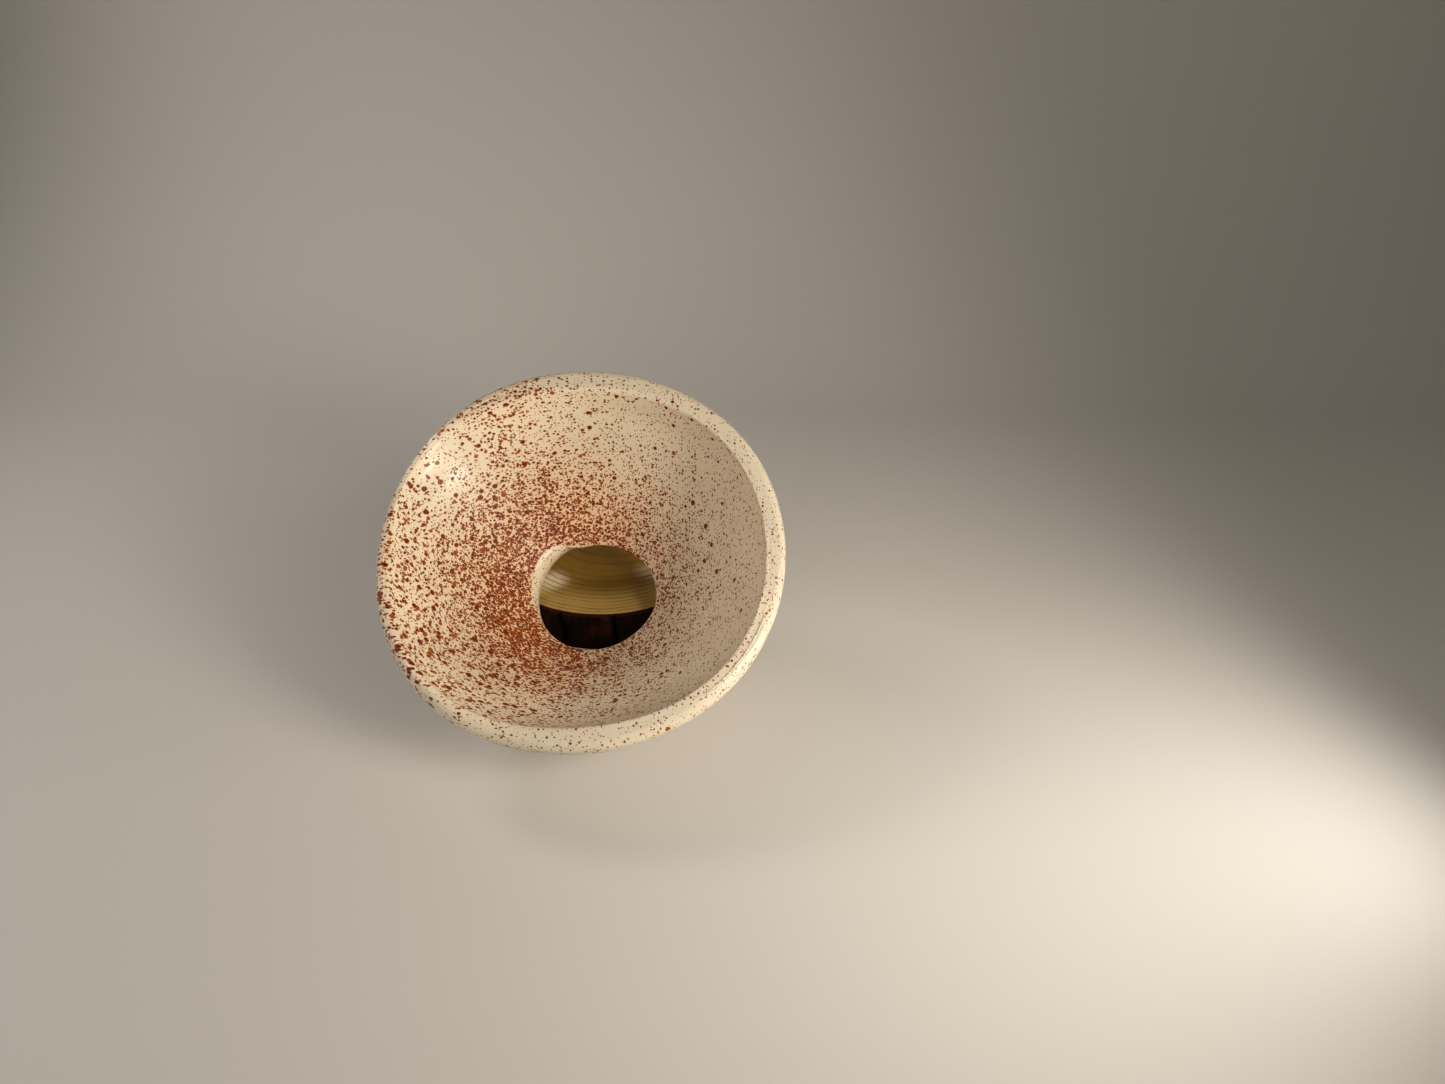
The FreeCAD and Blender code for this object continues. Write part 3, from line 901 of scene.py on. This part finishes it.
def wood_material(finishes, radius):
    """Sawn end grain: growth rings, sapwood outside heartwood, pores, saw marks, stains that are
    partly painted shade, and two painted pools of light.
    """
    material, tree, shader = new_material("end_grain", Specular_IOR_Level=0.2)
    here = add(tree, "TexCoord").outputs["Object"]
    flat = vector_calc(tree, "MULTIPLY", here, (1, 1, 0))
    slow = warped(tree, flat, 34.0, 2.6 * MM)
    wobbly = warped(tree, slow, 260.0, 0.45 * MM)
    r, late = growth_rings(tree, here, wobbly, radius)
    outer = rescale(tree, reach_here(tree, slow, (0.0, 0.0)), 30 * MM, 45 * MM, 0.0, 1.0, True)
    base = blend(tree, outer, rgba(finishes.heartwood), rgba(finishes.sapwood))
    # Painted light: two pale patches left and right of the hole, where lamp light through the
    # throat lands; the left one is the stronger.
    for middle, share in (((-0.0215, -0.0285), 0.95), ((0.0195, -0.0215), 0.40)):
        patch = rescale(tree, reach_here(tree, slow, middle), 2 * MM, 9 * MM, share, 0.0, True)
        base = blend(tree, patch, base, rgba(finishes.painted_light_patch))
    base = mottled(tree, here, base, 55.0, 0.10).outputs["Color"]
    colour_now = blend(tree, late, base, rgba(finishes.latewood))
    pores = add(tree, "TexVoronoi", {"Vector": here, "Scale": 2600.0})
    dots = rescale(tree, pores.outputs["Distance"], 0.1, 0.34, 0.45, 0.0)
    colour_now = blend(tree, dots, colour_now, rgba(finishes.latewood))
    # Blotchy darkening toward the latewood colour, heaviest toward the middle of the slice: partly
    # stain, partly painted shade under the funnel.
    stain = rescale(tree, noise(tree, slow, 70.0, 4.0), 0.48, 0.68, 0.0, 0.45)
    stains_and_painted_shade = calc(tree, "MULTIPLY", stain, rescale(tree, r, 24.0, 40.0, 1.0, 0.3))
    colour_now = blend(tree, stains_and_painted_shade, colour_now, rgba(finishes.latewood))
    pith = rescale(tree, r, 0.8, 1.6, 0.9, 0.0, smooth=True)
    colour_now = blend(tree, pith, colour_now, rgba(finishes.bast))
    tree.links.new(colour_now, shader.inputs["Base Color"])

    saw_way = add(tree, "Mapping", {"Vector": here, "Rotation": (0, 0, math.radians(24)),
                                    "Scale": (60, 1400, 1)})
    saw = noise(tree, saw_way.outputs[0], 1.0, 3.0)
    fuzz = noise(tree, here, 3000.0, 2.0)
    height = calc(tree, "MULTIPLY_ADD", late, 0.8, saw)
    roughen(tree, shader, calc(tree, "MULTIPLY_ADD", fuzz, 0.5, height), 0.08 * MM, 0.7)
    tree.links.new(rescale(tree, fuzz, 0.3, 0.7, 0.55, 0.75), shader.inputs["Roughness"])
    return material


def bast_material(finishes):
    """Fibrous red inner bark."""
    material, tree, shader = new_material("inner_bark_fibre", Roughness=0.75)
    here = add(tree, "TexCoord").outputs["Object"]
    tone = mottled(tree, here, rgba(finishes.bast), 500.0, 0.5)
    tree.links.new(tone.outputs["Color"], shader.inputs["Base Color"])
    roughen(tree, shader, tone.outputs["Patch"], 0.08 * MM, 0.6)
    return material


def bark_material(finishes):
    """Dark red-brown bark: vertical fibres on the outside, and near-black painted shade in the
    cracks.
    """
    material, tree, shader = new_material("cracked_bark", Specular_IOR_Level=0.06)
    here = add(tree, "TexCoord").outputs["Object"]
    crack, cut = attribute(tree, "crack"), attribute(tree, "cut")
    drawn = add(tree, "Mapping", {"Vector": here, "Scale": (1, 1, 0.16)}).outputs[0]
    tone = mottled(tree, drawn, rgba(finishes.bark), 420.0, 0.55)
    patches = mottled(tree, here, tone.outputs["Color"], 90.0, 0.30)
    red = rescale(tree, patches.outputs["Patch"], 0.0, 0.9, 0.0, 0.32)
    colour_now = blend(tree, red, patches.outputs["Color"], rgba(finishes.bast))
    colour_now = blend(tree, calc(tree, "MULTIPLY", cut, 0.25), colour_now, rgba(finishes.bast))
    # Painted shade: the cracks are drawn near black, darkest where the crack map is high.
    deep = rescale(tree, crack, 0.05, 0.45, 0.0, 1.0, smooth=True)
    colour_now = blend(tree, deep, colour_now, rgba(finishes.crack))
    tree.links.new(colour_now, shader.inputs["Base Color"])
    fibre = noise(tree, drawn, 900.0, 4.0)
    height = calc(tree, "MULTIPLY_ADD", tone.outputs["Patch"], 0.5, fibre)
    roughen(tree, shader, height, 0.25 * MM, 0.8)
    tree.links.new(rescale(tree, fibre, 0.3, 0.7, 0.62, 0.85), shader.inputs["Roughness"])
    return material


# ---------------------------------------------------------------- stage

def build_sweep(look):
    """Paper sweep: a level floor that curves up behind.

    Out to the bend it is flat; round the bend its height is R (1 - cos b) for an angle b
    from 0 to a quarter turn; above that it stands upright.
    """
    bend, depth, half, wall = 0.20, 0.15, 1.6, 1.2
    bow = np.linspace(0, math.pi / 2, 24)
    floor_y = np.linspace(-1.6, depth, 12, endpoint=False)
    y = np.concatenate([floor_y, depth + bend * np.sin(bow), np.full(6, depth + bend)])
    z = np.concatenate([np.zeros(12), bend * (1 - np.cos(bow)), np.linspace(bend + 0.1, wall, 6)])
    x = np.linspace(-half, half, 9)
    points = np.stack([x[:, None] + 0 * y, y + 0 * x[:, None], z + 0 * x[:, None]], axis=-1)
    mesh = mesh_from_grid("paper_sweep", points[::-1], close_across=False, close_along=False)
    material = new_material("pale_paper", Base_Color=rgba(look.floor), Roughness=0.9,
                            Specular_IOR_Level=0.2)[0]
    mesh.materials.append(material)
    put("paper_sweep", mesh)


# Azimuth and elevation in degrees, distance and width in metres, beam in degrees, watts, tint.
LAMPS = {
    "right_near": (54, 25, 0.40, 0.14, 100, 0.36, (1.0, 0.915, 0.79)),
    "right_low": (74, 3, 0.36, 0.08, 110, 0.19, (1.0, 0.97, 0.90)),
    "right_far": (47, 32, 0.75, 0.40, 180, 1.17, (1.0, 0.92, 0.80)),
    "front": (-8, 24, 0.50, 0.20, 140, 0.19, (1.0, 0.95, 0.88)),
    "left_near": (-52, 19, 0.42, 0.16, 180, 0.15, (1.0, 0.97, 0.93)),
    "left_side": (-80, 22, 0.50, 0.20, 160, 0.18, (1.0, 0.95, 0.91)),
    "left_behind": (-120, 40, 0.60, 0.16, 150, 0.63, (1.0, 0.95, 0.88)),
}


def look_along(item, place_at, ahead):
    """Stand a lamp or the camera at a place, facing along a direction."""
    item.location = place_at
    item.rotation_mode = "QUATERNION"
    item.rotation_quaternion = Vector(ahead).to_track_quat("-Z", "Y")


def add_lamp(name, place_at, aim, power, size, beam, tint):
    """A square soft box facing the object."""
    lamp = bpy.data.lights.new(name, "AREA")
    lamp.shape, lamp.size, lamp.energy, lamp.color = "SQUARE", size, power, tint
    lamp.spread = math.radians(beam)
    look_along(put(name, lamp), place_at, Vector(aim) - Vector(place_at))


def around_object(aim, azimuth, elevation, distance):
    """The place seen from aim at that azimuth (0 in front, growing to +X) and elevation."""
    a, e = math.radians(azimuth), math.radians(elevation)
    return aim + distance * np.array([math.sin(a) * math.cos(e), -math.cos(a) * math.cos(e),
                                      math.sin(e)])


def build_lights(look):
    """Soft boxes round the object, the stronger ones on the right, and a faint even sky."""
    low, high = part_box("funnel")
    aim = np.array((low + high) / 2)
    for name, (azimuth, elevation, distance, width, beam, watts, tint) in LAMPS.items():
        place_at = around_object(aim, azimuth, elevation, distance)
        add_lamp(name, place_at, aim, watts * look.lamp_power, width, beam, tint)
    world = bpy.data.worlds.new("studio")
    world.use_nodes = True
    backdrop = world.node_tree.nodes["Background"]
    backdrop.inputs["Color"].default_value = (1.0, 0.97, 0.93, 1.0)
    backdrop.inputs["Strength"].default_value = look.ambient
    bpy.context.scene.world = world


EYE_FROM_FUNNEL = np.array([57.4, -319.6, 245.1]) * MM


def build_camera(look):
    """A wide lens in front, above and to the right, placed from the funnel's box.

    The funnel stands left of the middle of the frame.
    """
    low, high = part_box("funnel")
    middle = np.array((low + high) / 2)
    ahead = np.array([-math.sin(look.heading) * math.cos(look.depression),
                      math.cos(look.heading) * math.cos(look.depression),
                      -math.sin(look.depression)])
    camera = bpy.data.cameras.new("camera")
    camera.lens, camera.sensor_width = look.lens, 36.0
    camera.clip_start, camera.clip_end = 0.01, 20.0
    item = put("camera", camera)
    look_along(item, middle + EYE_FROM_FUNNEL, ahead)
    bpy.context.scene.camera = item


# ---------------------------------------------------------------- operators and panel

class FUNNEL_OT_stage(Operator):
    """Make the paper sweep, the lamps and the camera"""
    bl_idname = "funnel.stage"
    bl_label = "Stage"

    def execute(self, context):
        look = context.scene.funnel_stage
        build_sweep(look)
        build_lights(look)
        build_camera(look)
        context.scene.view_settings.view_transform = "Standard"
        return {"FINISHED"}


class FUNNEL_OT_funnel(Operator):
    """Make the glazed stoneware funnel"""
    bl_idname = "funnel.funnel"
    bl_label = "Funnel"

    def execute(self, context):
        build_funnel(context.scene.funnel_shape, context.scene.funnel_finishes)
        return {"FINISHED"}


class FUNNEL_OT_wood_slice(Operator):
    """Make the slice: wood, inner bark and outer bark"""
    bl_idname = "funnel.wood_slice"
    bl_label = "Wood slice"

    def execute(self, context):
        shape, finishes = context.scene.slice_shape, context.scene.funnel_finishes
        build_wood(shape, finishes)
        build_bast(shape, finishes)
        build_bark(shape, finishes)
        return {"FINISHED"}


OPERATORS = (FUNNEL_OT_stage, FUNNEL_OT_funnel, FUNNEL_OT_wood_slice)


class FUNNEL_PT_panel(Panel):
    """Buttons for the pieces, and their sizes and colours"""
    bl_label = "Stoneware funnel"
    bl_space_type = "VIEW_3D"
    bl_region_type = "UI"
    bl_category = "Funnel"

    def draw(self, context):
        for operator in OPERATORS:
            self.layout.operator(operator.bl_idname)
        for name in SETTINGS:
            settings = getattr(context.scene, name)
            box = self.layout.box()
            for item in settings.bl_rna.properties:
                if item.identifier not in ("rna_type", "name"):
                    box.prop(settings, item.identifier)


SETTINGS = {"funnel_shape": FunnelShape, "slice_shape": SliceShape,
            "funnel_finishes": Finishes, "funnel_stage": StageLook}
CLASSES = (*SETTINGS.values(), *OPERATORS, FUNNEL_PT_panel)


def register():
    for cls in CLASSES:
        bpy.utils.register_class(cls)
    for name, cls in SETTINGS.items():
        setattr(bpy.types.Scene, name, PointerProperty(type=cls))


def unregister():
    for name in SETTINGS:
        delattr(bpy.types.Scene, name)
    for cls in reversed(CLASSES):
        bpy.utils.unregister_class(cls)


def main():
    """Build everything in order."""
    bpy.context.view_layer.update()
    register()
    bpy.ops.funnel.stage()
    bpy.ops.funnel.funnel()
    bpy.ops.funnel.wood_slice()


if __name__ == "__main__":
    main()
